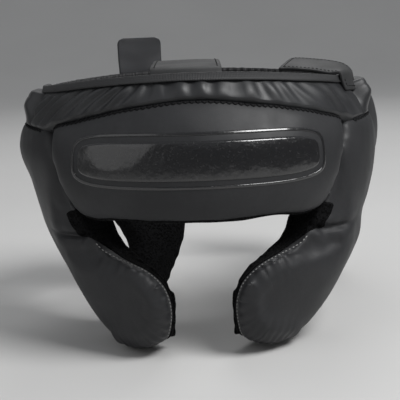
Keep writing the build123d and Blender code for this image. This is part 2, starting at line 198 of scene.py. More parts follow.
# %% [markdown]
# ### Lining, nylon and tapes
# The lining is a black spacer mesh: small round holes between lighter threads. The crown is thin
# satin nylon. Bindings are ribbed tapes, the straps are woven, and the closures have a rough pile.

# %% Fabric finishes
def spacer_mesh():
    finish = Finish("black_spacer_mesh", "lining_mesh", specular_ior_level=0.08)
    holes = finish.between(finish.pebbles(560), 0.25, 0.62)
    speck = finish.between(finish.cloud(900), 0.52, 0.72)
    thread = holes * 0.75 + speck * 0.4
    dark, light = (0.0008, 0.0008, 0.0009), (0.0060, 0.0060, 0.0066)
    return finish.shade(thread, dark, light, 0.85 - speck * 0.2, holes, 0.8, 0.0006)


def nylon():
    finish = Finish("crown_nylon", "crown_nylon", specular_ior_level=0.42)
    fine, broad = finish.cloud(700), finish.cloud(30, 3)
    tone, satin = finish.between(broad, 0.3, 0.7), finish.between(broad, 0.3, 0.7, 0.36, 0.48)
    dark, light = (0.015, 0.0155, 0.017), (0.024, 0.025, 0.027)
    height = finish.pebbles(1500) * 0.5 + fine
    return finish.shade(tone, dark, light, satin + fine * 0.08, height, 0.18, 0.0002)


def woven(name, slot, dark, light, pitch, rough):
    """A woven tape or strap, with ribs across its length at a pitch."""
    finish = Finish(name, slot, specular_ior_level=0.45)
    across, along = finish.ribs(math.tau / pitch / 20, "X"), finish.ribs(math.tau / pitch / 14, "Y")
    fuzz = finish.cloud(800)
    height = across * 0.7 + along * 0.3
    tone = finish.between(height * 0.6 + fuzz * 0.4, 0.2, 0.8)
    return finish.shade(tone, dark, light, rough + fuzz * 0.12, height + fuzz * 0.3, 0.5, 0.0003)


def pile(name, slot, dark, light, scale):
    """Hook or loop tape: a rough pile."""
    finish = Finish(name, slot, specular_ior_level=0.3)
    tufts, fuzz = finish.pebbles(scale), finish.cloud(scale * 1.7, 3)
    height = fuzz + tufts * 0.8
    tone = finish.between(height, 0.5, 1.2)
    return finish.shade(tone, dark, light, 0.8 + fuzz * 0.15, height, 0.9, 0.0007)


def yarn(name, dark, light):
    finish = Finish(name, "binding_tape", specular_ior_level=0.15)
    fuzz = finish.cloud(2600)
    return finish.shade(fuzz, dark, light, 0.5 + fuzz * 0.2, fuzz, 0.4, 0.0002)


LINING, NYLON = spacer_mesh(), nylon()
TAPE = woven("binding_tape", "binding_tape", (0.012, 0.012, 0.013), (0.023, 0.0235, 0.025), 0.0009, 0.5)
ELASTIC = woven("rear_elastic", "elastic", (0.004, 0.004, 0.0045), (0.017, 0.017, 0.019), 0.0016, 0.58)
WEBBING = woven("satin_webbing", "strap_webbing", (0.005, 0.0056, 0.0078), (0.013, 0.0142, 0.019),
                0.0006, 0.36)
HOOKS = pile("hook_tape", "hook_tape", (0.006, 0.006, 0.006), (0.020, 0.020, 0.021), 1300)
LOOPS = pile("loop_tape", "loop_tape", (0.008, 0.008, 0.009), (0.028, 0.028, 0.030), 800)
BLACK_THREAD = yarn("black_thread", (0.002, 0.002, 0.0025), (0.006, 0.006, 0.007))
PALE_THREAD = yarn("pale_thread", (0.20, 0.20, 0.20), (0.42, 0.42, 0.41))
print("fabric finishes ready")

# %% [markdown]
# ### Gloss film
# The band on the forehead is a thin film pressed on with heat. It is nearly black and very glossy,
# and its surface is slightly wavy, like orange peel.

# %% Film finish
def gloss_film():
    finish = Finish("gloss_film", "cover_leather", specular_ior_level=0.6, coat_weight=0.6,
                    coat_roughness=0.06)
    peel = finish.cloud(330) * 0.6 + finish.cloud(90)
    speck = finish.between(finish.cloud(900, 1), 0.62, 0.7)
    dark, light = (0.004, 0.004, 0.005), (0.012, 0.012, 0.013)
    return finish.shade(speck, dark, light, 0.20 + speck * 0.12, peel, 0.42, 0.0009)


FILM = gloss_film()
print("film nodes:", len(FILM.tree.nodes))

# %% [markdown]
# ## The wall
# Every pad lies on one wall: an oval round the head that is wider at the temples than at the chin.
# A place on it is an angle from the middle of the face, a height and a depth, in millimetres.
# `wall_place` goes back from a point to those three numbers, for a whole mesh at once.

# %% Wall
HEIGHTS = np.array((0.0, 45.0, 90.0, 132.0, 170.0))
HALF_WIDTHS = np.array((73.0, 97.0, 116.0, 123.5, 111.0))
FRONTS = np.array((107.0, 118.0, 123.0, 123.0, 107.0))
REARS = np.array((92.0, 102.0, 112.0, 117.0, 112.0))
BEFORE, AFTER = [0, 0, 1, 2, 3], [1, 2, 3, 4, 4]


def smooth(z, values):
    """A smooth curve through the values at the wall's heights."""
    slopes = (values[AFTER] - values[BEFORE]) / (HEIGHTS[AFTER] - HEIGHTS[BEFORE])
    z = np.clip(z, HEIGHTS[0], HEIGHTS[-1])
    i = np.clip(np.searchsorted(HEIGHTS, z, side="right") - 1, 0, 3)
    span = HEIGHTS[i + 1] - HEIGHTS[i]
    t = (z - HEIGHTS[i]) / span
    return (values[i] * (1 + 2 * t) * (1 - t) ** 2 + values[i + 1] * (3 - 2 * t) * t ** 2
            + span * slopes[i] * t * (1 - t) ** 2 - span * slopes[i + 1] * (1 - t) * t ** 2)


def wall_oval(z):
    front, rear = smooth(z, FRONTS), smooth(z, REARS)
    return smooth(z, HALF_WIDTHS), (front + rear) / 2, (rear - front) / 2


def on_wall(angle, z, depth=0.0):
    """The point, in metres, at an angle, a height and a depth below the outer face."""
    half_width, half_depth, middle = wall_oval(z)
    t = math.radians(angle)
    point = Vector((half_width * math.sin(t), middle - half_depth * math.cos(t), z))
    out = Vector((math.sin(t) / half_width, -math.cos(t) / half_depth, 0)).normalized()
    return (point - out * depth) * MM


def out_of_wall(angle, z):
    return (on_wall(angle, z) - on_wall(angle, z, 1.0)).normalized()


def wall_place(points):
    """Angle, height and depth of points in metres, as three arrays."""
    x, y, z = points.T / MM
    half_width, half_depth, middle = wall_oval(z)
    t = np.arctan2(x / half_width, (middle - y) / half_depth)
    out = np.stack((np.sin(t) / half_width, -np.cos(t) / half_depth), axis=1)
    out /= np.linalg.norm(out, axis=1)[:, None]
    depth = (half_width * np.sin(t) - x) * out[:, 0] + (middle - half_depth * np.cos(t) - y) * out[:, 1]
    return np.degrees(t), z, depth


def pad_top(angle):
    """The height of the pads' top edge: highest at the brow, lower beyond the temples."""
    return 167.0 - 19.5 * min(abs(angle) / 60.0, 1.0) ** 1.5


def smoothstep(low, high, value):
    """A smooth step from 0 at low to 1 at high; low may be above high."""
    t = np.clip((value - low) / (high - low), 0, 1)
    return t * t * (3 - 2 * t)


def bell(gap, width):
    """1 where a gap is 0, and next to nothing at twice the width."""
    return np.exp(-(gap / width) ** 2)


print("temple is", round(on_wall(90, 132).x * 2000), "mm wide")

# %% [markdown]
# ## Making a piece
# Each piece is an object at the origin with its place in its mesh. These helpers turn a bmesh or a
# mesh into a finished piece: it gets its material and its body.

# %% Piece helpers
def piece(name, mesh, finish, body=None):
    """A new object from a bmesh or a mesh."""
    if isinstance(mesh, bmesh.types.BMesh):
        made = bpy.data.meshes.new(name)
        mesh.to_mesh(made)
        mesh.free()
        mesh = made
    mesh.name = name
    thing = bpy.data.objects.new(name, mesh)
    SCENE.collection.objects.link(thing)
    mesh.materials.clear()
    mesh.materials.append(finish.material)
    mesh.shade_smooth()
    if body:
        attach(thing, body)
    return thing


def baked(thing):
    """The object's mesh with its modifiers applied, as a new mesh."""
    graph = bpy.context.evaluated_depsgraph_get()
    return bpy.data.meshes.new_from_object(thing.evaluated_get(graph))


def apply_modifiers(thing):
    mesh = baked(thing)
    thing.modifiers.clear()
    thing.data = mesh


def thicken(thing, thickness, offset=0):
    """Gives a surface its thickness: on both sides of it, or with an offset of -1 inwards."""
    thick = thing.modifiers.new("Thickness", "SOLIDIFY")
    thick.thickness, thick.offset = thickness, offset


def vectors(items, key):
    """One vector of each item, as the rows of an array."""
    found = np.empty(len(items) * 3, np.float32)
    items.foreach_get(key, found)
    return found.reshape(-1, 3).astype(float)


def points_of(mesh):
    return vectors(mesh.vertices, "co")


def normals_of(mesh):
    return vectors(mesh.vertex_normals, "vector")


def move_points(mesh, points):
    mesh.vertices.foreach_set("co", points.astype(np.float32).ravel())
    mesh.update()


def turned_points(points, matrix):
    """Points moved by a 4x4 matrix."""
    array = np.array(matrix)
    return points @ array[:3, :3].T + array[:3, 3]


def surface(thing):
    """A search tree over a piece's surface."""
    mesh = bmesh.new()
    mesh.from_mesh(thing.data)
    tree = BVHTree.FromBMesh(mesh)
    mesh.free()
    return tree


def keep_biggest_island(mesh):
    """Deletes all but the largest connected part of a bmesh."""
    left, best = set(mesh.verts), set()
    while left:
        island, edge = set(), [left.pop()]
        while edge:
            vert = edge.pop()
            island.add(vert)
            for link in vert.link_edges:
                other = link.other_vert(vert)
                if other in left:
                    left.discard(other)
                    edge.append(other)
        best = max(best, island, key=len)
    bmesh.ops.delete(mesh, geom=[vert for vert in mesh.verts if vert not in best], context="VERTS")


print("points in the plain forehead cover:", len(points_of(NODES["forehead_cover"].data)))

# %% [markdown]
# The wearer's left flap stands open. Its pads are shaped as if it were closed, so their places on the
# wall are read after turning them back about the flap's hinge.

# %% Open flap
JOINTS = {joint["name"]: joint for joint in frame["joints"]}


def turning(joint_name, degrees):
    """The matrix that turns a point about a joint."""
    joint = JOINTS[joint_name]
    centre = Matrix.Translation(Vector(joint["pos_m"]))
    return centre @ Matrix.Rotation(math.radians(degrees), 4, Vector(joint["axis"])) @ centre.inverted()


CLOSE_LEFT = turning("left_flap_hinge", JOINTS["left_flap_hinge"]["range_deg"][0])
OPEN_LEFT = CLOSE_LEFT.inverted()
STAY = Matrix.Identity(4)
SIDES = ((1, "left", OPEN_LEFT), (-1, "right", STAY))
print("left flap opens by", -JOINTS["left_flap_hinge"]["range_deg"][0], "degrees")

# %% [markdown]
# ## Pads
# A pad is foam in a tight leather cover, so it swells between its seams. It could be sculpted by hand,
# but cloth under pressure finds that shape by itself. The plain solids of one pad are joined, remeshed
# into even faces and made a little smaller, ready to swell.

# %% Pad blanks
VOXEL = 0.0042
START_IN = 1.3 * MM
PAD_LAYERS = ("cover", "core_foam", "soft_foam", "liner")
PADS = {
    "forehead": ("shell", STAY), "left_side": ("shell", STAY), "right_side": ("shell", STAY),
    "left_rear": ("left_flap", CLOSE_LEFT), "right_rear": ("right_flap", STAY),
    "left_nape": ("left_flap", CLOSE_LEFT), "right_nape": ("right_flap", STAY),
}


def layers_of(pad):
    return [f"{pad}_{layer}" for layer in PAD_LAYERS if f"{pad}_{layer}" in NODES]


def blank(pad):
    """One closed mesh of even faces over all the layers of a pad, a little smaller than they are."""
    mesh = bmesh.new()
    for node in layers_of(pad):
        mesh.from_mesh(NODES[node].data)
    bmesh.ops.remove_doubles(mesh, verts=mesh.verts, dist=1e-6)
    thing = piece(f"{pad}_pad", mesh, LEATHER)
    remesh = thing.modifiers.new("Even faces", "REMESH")
    remesh.mode, remesh.voxel_size = "VOXEL", VOXEL
    apply_modifiers(thing)
    shell = bmesh.new()
    shell.from_mesh(thing.data)
    keep_biggest_island(shell)
    for _ in range(3):
        bmesh.ops.smooth_vert(shell, verts=shell.verts, factor=0.5, use_axis_x=True, use_axis_y=True,
                              use_axis_z=True)
    shell.to_mesh(thing.data)
    shell.free()
    move_points(thing.data, points_of(thing.data) - normals_of(thing.data) * START_IN)
    return thing


pads = {name: blank(name) for name in PADS}
print("pad faces:", {name: len(pad.data.polygons) for name, pad in pads.items()})

# %% [markdown]
# All pads are blown up together as cloth, and the result is kept as a mesh. The broad faces may move by
# a few millimetres and the thin sides hardly at all, so that neighbours stay apart.

# %% Pad simulation
PRESSURE, LAST_FRAME = 4.0, 20
FACE_CAP, SIDE_CAP = 4.5 * MM, 1.1 * MM


def add_cloth(pad):
    cloth = pad.modifiers.new("Cloth", "CLOTH")
    settings = cloth.settings
    settings.use_pressure, settings.uniform_pressure_force = True, PRESSURE
    settings.quality, settings.bending_stiffness = 4, 0.8
    settings.effector_weights.gravity = 0
    cloth.point_cache.frame_end = LAST_FRAME


def swell(pads):
    """Blows all the pads up together and caps how far each point moves."""
    starts = {name: (points_of(pad.data), normals_of(pad.data)) for name, pad in pads.items()}
    for pad in pads.values():
        add_cloth(pad)
    for step in range(1, LAST_FRAME + 1):
        SCENE.frame_set(step)
    for name, pad in pads.items():
        swollen = baked(pad)
        start, normals = starts[name]
        moved = points_of(swollen) - start
        pad.modifiers.clear()
        facing = outward_share(start, normals, PADS[name][1])
        cap = SIDE_CAP + (FACE_CAP - SIDE_CAP) * smoothstep(0.45, 0.9, facing)
        length = np.linalg.norm(moved, axis=1) + 1e-9
        move_points(pad.data, start + moved * np.minimum(1, cap / length)[:, None])
    SCENE.frame_set(1)


def outward_share(points, normals, close):
    """How squarely each normal faces out of the wall, or into it."""
    turned = turned_points(points, close)
    t = np.arctan2(turned[:, 0], -turned[:, 1])
    normals = normals @ np.array(close)[:3, :3].T
    return np.abs(normals[:, 0] * np.sin(t) - normals[:, 1] * np.cos(t))


swell(pads)
for pad in pads.values():
    fine = pad.modifiers.new("Finer", "SUBSURF")
    fine.levels = fine.render_levels = 2
    apply_modifiers(pad)
print("pad faces:", {name: len(pad.data.polygons) for name, pad in pads.items()})

# %% [markdown]
# ### Creases
# Leather that is pulled round a bend folds at the inside of the bend. The strongest creases fan out
# from the eye corners, where the forehead pad meets the side pads. The cheek edges are puckered by
# their stitching, and the broad faces have a soft unevenness.

# %% Creases
EYE_CORNER = (42.5, 90.0)
CHEEK_EDGE = ((43.0, 84), (41, 76), (32, 68.5), (22.5, 63), (16, 53), (14, 38), (17.5, 20), (26, 7), (42, 1))
CORNER_RAYS = ((200, 26, 1.5), (232, 32, 1.7), (268, 34, 1.4), (300, 26, 1.2), (170, 22, 1.0))
EYE_FOLD = ((43, 80), (50, 77.5), (60, 78), (72, 81))
TAPER, CHEEK_OUT, CHEEK_IN = 4.5, 5.2, 4.4
PUCKER_DEPTH, PUCKER_PITCH, PUCKER_REACH = 0.5, 7.5, 7.0
RIDGE_HEIGHT, RIDGE_GAP, RIDGE_WIDTH = 1.6, 13.0, 5.0
EYE_FOLD_DEPTH, EYE_FOLD_WIDTH, LIP_HEIGHT, LIP_GAP, LIP_WIDTH = 2.6, 2.0, 1.1, 6.0, 3.5
MM_PER_DEGREE = 2.0


def fan(angle, z, side):
    """The depth of the creases that fan out from one eye corner, in millimetres."""
    along = (side * angle - EYE_CORNER[0]) * MM_PER_DEGREE
    up = z - EYE_CORNER[1]
    total = np.zeros_like(z)
    for turn, length, deep in CORNER_RAYS:
        ray = math.radians(turn)
        run = up * math.sin(ray) - along * math.cos(ray)
        off = -along * math.sin(ray) - up * math.cos(ray)
        width = 1.6 + np.clip(run, 0, None) * 0.10
        fade = smoothstep(1, 6, run) * (1 - smoothstep(length * 0.4, length, run))
        total += deep * fade * (bell(off, width) - 0.45 * bell(off - 2.4 * width, width))
    return total


def near_line(angle, z, line):
    """Distance to a line of (angle, height) points and the run along it, in millimetres."""
    best, run_at, run = np.full_like(z, 1e9), np.zeros_like(z), 0.0
    for (a0, z0), (a1, z1) in zip(line, line[1:]):
        step = np.array(((a1 - a0) * MM_PER_DEGREE, z1 - z0))
        length = float(np.hypot(*step))
        along = (angle - a0) * MM_PER_DEGREE
        t = np.clip((along * step[0] + (z - z0) * step[1]) / length ** 2, 0, 1)
        gap = np.hypot(along - t * step[0], z - z0 - t * step[1])
        nearer = gap < best
        best, run_at = np.where(nearer, gap, best), np.where(nearer, run + t * length, run_at)
        run += length
    return best, run_at


def wander(points, size, seed):
    """Smooth noise at a list of points."""
    shift = Vector((seed * 3.1, seed * 7.7, seed * 1.3))
    return np.array([noise.noise(Vector(p) / size + shift) for p in points])


def side_shift(name, angle, z):
    """How far a side pad is moved towards the wearer's left, in metres: the soft shell sits askew."""
    if name == "left_side":
        return CHEEK_OUT * smoothstep(84, 60, z) * smoothstep(-4, 12, z) * smoothstep(34, 60, angle) * MM
    if name == "right_side":
        aside = smoothstep(48, 68, -angle) * smoothstep(107, 98, -angle)
        return CHEEK_IN * smoothstep(132, 106, z) * smoothstep(8, 50, z) * aside * MM
    return 0 * z


def crease(name, pad, close):
    """Moves a pad's points for its creases and puckers. Small depths are the pad's outer face."""
    mesh = pad.data
    points, normals = points_of(mesh), normals_of(mesh)
    angle, z, depth = wall_place(turned_points(points, close))
    outer = 1 - smoothstep(9, 15, depth)
    move = wander(points, 0.040, 1) * 0.9 + wander(points, 0.017, 2) * 0.35
    if "side" in name:
        side = 1 if name.startswith("left") else -1
        move -= fan(angle, z, side) * outer
        gap, run = near_line(side * angle, z, CHEEK_EDGE)
        waves = np.sin(run * math.tau / PUCKER_PITCH + 2.5 * wander(points, 0.02, 3))
        pucker = PUCKER_DEPTH * waves * np.exp(-gap / PUCKER_REACH)
        ridge = RIDGE_HEIGHT * bell(gap - RIDGE_GAP, RIDGE_WIDTH) * smoothstep(20, 60, run)
        move += (pucker + ridge) * outer
        edgewise = 1 - outward_share(points, normals, close)
        move -= TAPER * smoothstep(8, 30, depth) * edgewise * bell(gap, 9)
        gap, run = near_line(side * angle, z, EYE_FOLD)
        fade = 1 - smoothstep(18, 46, run)
        dent, lip = EYE_FOLD_DEPTH * bell(gap, EYE_FOLD_WIDTH), LIP_HEIGHT * bell(gap - LIP_GAP, LIP_WIDTH)
        move -= outer * fade * (dent - lip)
    points = points + normals * (move * MM)[:, None]
    points[:, 0] += side_shift(name, angle, z)
    move_points(mesh, points)


for name, (_, close) in PADS.items():
    crease(name, pads[name], close)
print("creased", len(pads), "pads")

# %% [markdown]
# ## Lining
# The side of each pad that touches the head is spacer mesh, sewn to the leather just round the edge.
# A copy of the pad's inner faces stands a little proud of it. Towards the seam the copy sinks below
# the leather, so the visible edge is the smooth line where the two cross.

# %% Lining
SEAM_DEPTH, HIDDEN_DEPTH = 7.0, 13.0
CHEEK_WRAP, FACE_SIDE, EAR_SIDE = 11.0, 46.0, 60.0
PROUD, SUNK = 0.7, -1.0
CLOTH_THICK = 1.2 * MM


def seam_depth(name, angle, z):
    """How deep the lining starts: just round the free edges, and hidden deep where two pads meet."""
    cheek = 0
    if name == "forehead":
        meets = smoothstep(40, 46, np.abs(angle)) + smoothstep(150, 160, z)
    elif "side" in name:
        meets = smoothstep(91, 98, z)
        cheek = smoothstep(EAR_SIDE, FACE_SIDE, np.abs(angle)) * (1 - smoothstep(66, 84, z))
    elif "rear" in name:
        meets = 1 - smoothstep(84, 89, z) + 1 - smoothstep(108, 113, np.abs(angle))
    else:
        meets = smoothstep(74, 80, z)
    return SEAM_DEPTH + (HIDDEN_DEPTH - SEAM_DEPTH) * np.clip(meets, 0, 1) + CHEEK_WRAP * cheek


def lining(name, pad, body, close):
    """The mesh behind a pad. A negative past_seam is leather, a positive one is lining."""
    mesh = pad.data.copy()
    points, normals = points_of(mesh), normals_of(mesh)
    placed = turned_points(points, close)
    angle, z, _ = wall_place(placed)
    placed[:, 0] -= side_shift(name, angle, z)
    angle, z, depth = wall_place(placed)
    past_seam = depth - seam_depth(name, angle, z) + wander(points, 0.012, 4) * 0.5
    lift = SUNK + (PROUD - SUNK) * smoothstep(-1.6, 1.6, past_seam)
    move_points(mesh, points + normals * (lift * MM)[:, None])
    shell = bmesh.new()
    shell.from_mesh(mesh)
    bpy.data.meshes.remove(mesh)
    shell.verts.ensure_lookup_table()
    shallow = [f for f in shell.faces if max(past_seam[v.index] for v in f.verts) < -2.5]
    bmesh.ops.delete(shell, geom=shallow, context="FACES")
    keep_biggest_island(shell)
    thing = piece(f"{name}_lining", shell, LINING, body)
    thicken(thing, CLOTH_THICK, -1)
    apply_modifiers(thing)
    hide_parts(f"{name}_liner")


for name, (body, close) in PADS.items():
    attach(pads[name], body)
    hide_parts(*[node for node in layers_of(name) if not node.endswith("liner")])
    lining(name, pads[name], body, close)
print("linings:", len(PADS))

# %% [markdown]
# ## Stitching
# A stitch is a short thick thread that dips into the leather at both ends. Every stitch of a seam is
# a small stretched ball, laid along a line that is pressed onto the pad that it holds together.

# %% Stitching
TREES = {name: surface(pad) for name, pad in pads.items()}


def curve_through(line, steps=12):
    """Points on a smooth curve through a few (angle, height, depth) places."""
    ends = [line[0], *line, line[-1]]
    found = []
    for a, b, c, d in zip(ends, ends[1:], ends[2:], ends[3:]):
        for k in range(steps):
            t = k / steps
            found.append([0.5 * (2 * q + (r - p) * t + (2 * p - 5 * q + 4 * r - s) * t * t
                                 + (3 * q - p - 3 * r + s) * t ** 3) for p, q, r, s in zip(a, b, c, d)])
    return found + [list(line[-1])]


def pressed(tree, points, lift):
    """Points moved onto a surface, with the surface's outward direction at each."""
    found = []
    for point in points:
        spot, normal, _, _ = tree.find_nearest(point)
        found.append((spot + normal * lift, normal))
    return found


def evenly(points, pitch):
    """Points at an even pitch along a line of points."""
    found, carried = [points[0]], 0.0
    for a, b in zip(points, points[1:]):
        length = (b - a).length
        while length > 1e-9 and carried + length >= pitch:
            a = a.lerp(b, (pitch - carried) / length)
            length, carried = (b - a).length, 0.0
            found.append(a)
        carried += length
    return found


def stitches(name, rows, finish, body, thread, lean=0.0):
    """One thread piece. Rows are lists of (point, outward direction); lean turns every other stitch."""
    length, width = thread
    mesh = bmesh.new()
    for row in rows:
        for k in range(len(row) - 1):
            (here, out), (after, _) = row[k], row[k + 1]
            along = after - here
            along = (along - out * along.dot(out)).normalized()
            side = out.cross(along)
            swing = math.radians(lean) * (1 if k % 2 else -1)
            along, side = (along * math.cos(swing) + side * math.sin(swing),
                           side * math.cos(swing) - along * math.sin(swing))
            turn = Matrix((along * length / 2, side * width / 2, out * width * 0.45)).transposed().to_4x4()
            bmesh.ops.create_uvsphere(mesh, u_segments=6, v_segments=4, radius=1.0,
                                      matrix=Matrix.Translation((here + after) / 2) @ turn)
    piece(name, mesh, finish, body)


def seam_row(pad, line, pitch, lift):
    """A row of stitch places along a line of (angle, height, depth) places, pressed onto a pad."""
    points = [on_wall(*place) for place in curve_through(line)]
    return pressed(TREES[pad], evenly(points, pitch), lift)


print("pads that can be sewn:", len(TREES))

# %% [markdown]
# The pads' top seam is a bold black zigzag, so every other stitch leans. The cheeks are edged with small
# pale stitches just outside the lining.

# %% Pad stitching
TOP_PITCH, TOP_THREAD = 0.0019, (0.0040, 0.0014)          # in metres; a thread's length and width
CHEEK_PITCH, CHEEK_THREAD = 0.0027, (0.0018, 0.0008)
TEMPLE_PITCH, TEMPLE_THREAD = 0.0022, (0.0034, 0.0010)
TOP_ANGLES = [-54 + 4.5 * k for k in range(25)]
TOP_SEAM = [(angle, pad_top(angle) - 2.0, 2.2) for angle in TOP_ANGLES]
top_row = seam_row("forehead", TOP_SEAM, TOP_PITCH, 0.2 * MM)
stitches("forehead_top_stitching", [top_row], BLACK_THREAD, "shell", TOP_THREAD, 44)

for side, wearer_side, _ in SIDES:
    edge = [(side * (a + 0.3), z, float(seam_depth(f"{wearer_side}_side", side * a, z)) - 3.0)
            for a, z in CHEEK_EDGE[1:]]
    row = seam_row(f"{wearer_side}_side", edge, CHEEK_PITCH, 0.1 * MM)
    stitches(f"{wearer_side}_cheek_stitching", [row], PALE_THREAD, "shell", CHEEK_THREAD)
    temple = [(side * angle, pad_top(angle) - 2.0, 2.2) for angle in (61, 75, 90, 103)]
    row = seam_row(f"{wearer_side}_side", temple, TEMPLE_PITCH, 0.2 * MM)
    stitches(f"{wearer_side}_temple_stitching", [row], BLACK_THREAD, "shell", TEMPLE_THREAD, 36)
print("stitches in the top seam:", len(top_row))

# %% [markdown]
# ## Forehead band
# A plain band of gloss film with rounded ends, and a thin line of the same film all round it. Both are
# bent over the swollen pad, so they follow its shape, and a little thickness gives them a real edge.

# %% Forehead band
BAND_Z, BAND_LENGTH, BAND_HEIGHT, CORNER_POWER = 129.0, 148.0, 23.0, 5.0
LINE_GAP, LINE_WIDTH = 3.4, 1.7
FILM_THICK, FILM_PROUD = 0.5 * MM, 0.28 * MM
RAY_START = 30 * MM


def grid(columns, rows, place, size=(1.0, 1.0)):
    """A grid bent to shape: place(u, v) gives the point for u and v from 0 to 1. UVs are in metres."""
    mesh = bmesh.new()
    uv = mesh.loops.layers.uv.new("UVMap")
    bmesh.ops.create_grid(mesh, x_segments=columns, y_segments=rows, size=0.5, calc_uvs=True)
    for face in mesh.faces:
        for loop in face.loops:
            flat = loop.vert.co
            loop[uv].uv = ((flat.x + 0.5) * size[0], (flat.y + 0.5) * size[1])
    for vert in mesh.verts:
        vert.co = place(vert.co.x + 0.5, vert.co.y + 0.5)
    return mesh


def film_spot(across, up):
    """A place on the forehead pad, from millimetres across and up from the band's middle."""
    place = (across / MM_PER_DEGREE, BAND_Z + up)
    out = out_of_wall(*place)
    spot, normal, _, _ = TREES["forehead"].ray_cast(on_wall(*place) + out * RAY_START, -out)
    return spot + normal * FILM_PROUD


def outer_sheet(name, mesh, finish, body=None):
    """A piece from an open surface, with its faces turned away from the middle of the head."""
    bmesh.ops.recalc_face_normals(mesh, faces=mesh.faces)
    mesh.normal_update()
    middle = Vector((0, 0, BAND_Z * MM))
    if sum(face.normal.dot(face.calc_center_median() - middle) for face in mesh.faces) < 0:
        bmesh.ops.reverse_faces(mesh, faces=mesh.faces)
    return piece(name, mesh, finish, body)


def film(name, columns, rows, place):
    """A piece of film: place(u, v) gives millimetres across and up from the band's middle."""
    mesh = grid(columns, rows, lambda u, v: film_spot(*place(u, v)))
    bmesh.ops.remove_doubles(mesh, verts=mesh.verts, dist=1e-5)
    thing = outer_sheet(name, mesh, FILM, "shell")
    thicken(thing, FILM_THICK, -1)
    print(name, "faces:", len(thing.data.polygons))


def band_place(u, v):
    """The band: columns from end to end, closer together near the rounded ends."""
    share = -math.cos(math.pi * u)
    half_height = BAND_HEIGHT / 2 * (1 - abs(share) ** CORNER_POWER) ** (1 / CORNER_POWER)
    return share * BAND_LENGTH / 2, (2 * v - 1) * half_height


def line_place(u, v):
    """The thin line round the band: an oval with nearly square corners."""
    c, s = math.cos(u * math.tau), math.sin(u * math.tau)
    stretch = (abs(c) ** CORNER_POWER + abs(s) ** CORNER_POWER) ** (-1 / CORNER_POWER)
    grown = LINE_GAP + LINE_WIDTH * v
    return stretch * c * (BAND_LENGTH / 2 + grown), stretch * s * (BAND_HEIGHT / 2 + grown)


film("forehead_gloss_band", 200, 16, band_place)
film("forehead_gloss_line", 260, 3, line_place)

# %% [markdown]
# ## Crown
# A band of thin nylon joins the top of the pads to the rim. It is cut longer than the rim, so it lies
# in gathers: slanting folds at both temples and looser wrinkles across the brow. Above each ear it is a
# plain panel. Cloth simulation would put the folds anywhere, so a formula bends a fine grid instead.

# %% Crown fabric
RIM_FRONT_Z, RIM_SIDE_Z, RIM_REAR_Z = 178.5, 169.0, 174.0
RIM_HALF_WIDTH, RIM_FRONT, RIM_REAR = 105.0, 97.0, 100.0
CROWN_END, TUCKED = 104.0, 0.1     # the crown's ends, and the share of it that is tucked behind the pads
PANEL_START, PANEL_OUT = 71.0, {"left": 9.5, "right": 7.0}


def rim_place(angle, depth=0.0, drop=0.0):
    """A point on the rim, at a depth inside it and a drop below it, and its outward direction."""
    half_depth, middle = (RIM_FRONT + RIM_REAR) / 2, (RIM_REAR - RIM_FRONT) / 2
    t = math.radians(angle)
    along = math.cos(t)
    z = RIM_SIDE_Z + ((RIM_FRONT_Z if along > 0 else RIM_REAR_Z) - RIM_SIDE_Z) * along ** 2
    out = Vector((math.sin(t) / RIM_HALF_WIDTH, -math.cos(t) / half_depth, 0)).normalized()
    edge = Vector((RIM_HALF_WIDTH * math.sin(t), middle - half_depth * math.cos(t), z))
    return (edge - out * depth - Vector((0, 0, drop))) * MM, out


def ramp(low, high, value):
    """A smooth step for one number."""
    return float(smoothstep(low, high, np.array(value)))


def gathers(angle, v):
    """How far the nylon stands out in its folds, in millimetres."""
    slant = angle - 17 * v * ramp(-8, -30, angle) + 11 * v * ramp(8, 40, angle)
    wave = math.sin(math.radians(slant) * 46 + 2.2 * noise.noise(Vector((angle * 0.06, v * 0.5, 0))))
    sharp = math.copysign(abs(wave) ** 0.8, wave)
    loose = noise.noise(Vector((angle * 0.11, v * 0.9, 5.0))) * 1.7
    strong = 0.7 + 0.75 * ramp(-12, -35, angle) * ramp(-74, -64, angle)
    held = ramp(0.88, 0.66, v)
    return (strong * sharp + loose) * math.sin(math.pi * min(1.0, 0.12 + 0.9 * v)) * held * 0.95


def side_panel(angle, v):
    """How far the plain panel stands out, in millimetres. It has a hem, and a seam at its front."""
    far = PANEL_OUT["left" if angle > 0 else "right"] * ramp(PANEL_START, PANEL_START + 4, abs(angle))
    far *= ramp(CROWN_END, CROWN_END - 7, abs(angle))
    shape = ramp(0.0, 0.42, v) * (0.82 + 0.18 * v) * ramp(0.92, 0.74, v)
    hem, seam = 0.056 * bell(v - 0.60, 0.025), 1.6 * bell(abs(angle) - PANEL_START, 1.1)
    return far * (shape - hem) - seam * ramp(0.95, 0.7, v)


def crown_place(u, v):
    angle = -CROWN_END + 2 * CROWN_END * u
    low = on_wall(angle, pad_top(angle) - 1.1, 3.4 - 1.6 * ramp(66, 76, abs(angle)))
    if v < TUCKED:
        return on_wall(angle, pad_top(angle) - 6.5, 10.0).lerp(low, v / TUCKED)
    v = (v - TUCKED) / (1 - TUCKED)
    high, out = rim_place(angle, 0.7, 1.0)
    rise = high - low
    face = out - rise * (out.dot(rise) / rise.length_squared)
    puff = 1.6 * math.sin(math.pi * v) ** 0.8 * (1 - 0.35 * v)
    plain = ramp(PANEL_START, PANEL_START + 3, abs(angle))
    folds = gathers(angle, v) * (1 - 0.75 * plain)
    return low + rise * v + face.normalized() * (puff + folds + side_panel(angle, v)) * MM


crown = outer_sheet("crown_band_fabric", grid(520, 30, crown_place, (0.40, 0.022)), NYLON, "shell")
thicken(crown, CLOTH_THICK, -1)
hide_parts("crown_band")

